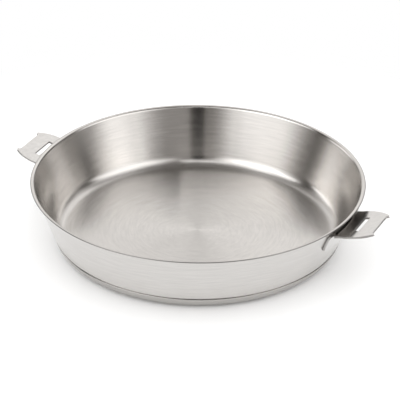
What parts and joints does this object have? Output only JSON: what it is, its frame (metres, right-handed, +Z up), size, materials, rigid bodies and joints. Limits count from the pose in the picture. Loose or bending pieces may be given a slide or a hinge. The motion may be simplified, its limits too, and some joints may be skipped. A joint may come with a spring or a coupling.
{
  "type": "frying pan",
  "caption": "Wide shallow stainless frying pan with a flared pouring lip, a capsule base and a slotted lug on each side for a clip-on handle.",
  "frame": {"origin": "middle of the flat underside, on the surface that the pan stands on", "axes": "+Z up along the pan's axis, +X through the middle of the right lug, -X through the middle of the left lug"},
  "size_m": [0.3858, 0.328, 0.065],
  "materials": {
    "body_steel": "spun satin stainless steel, fine rings round the pan's axis",
    "spreader_aluminium": "plain rolled aluminium",
    "base_steel": "turned magnetic stainless steel, fine rings round the pan's axis",
    "lug_steel": "bright stamped stainless steel with tumbled edges",
    "weld_steel": "bare spot weld"
  },
  "bodies": {
    "root": {"pan_body": "body_steel", "heat_spreader": "spreader_aluminium", "base_cap": "base_steel", "left_lug": "lug_steel", "right_lug": "lug_steel", "left_weld_1": "weld_steel", "left_weld_2": "weld_steel", "left_weld_3": "weld_steel", "left_weld_4": "weld_steel", "right_weld_1": "weld_steel", "right_weld_2": "weld_steel", "right_weld_3": "weld_steel", "right_weld_4": "weld_steel"}
  },
  "joints": []
}
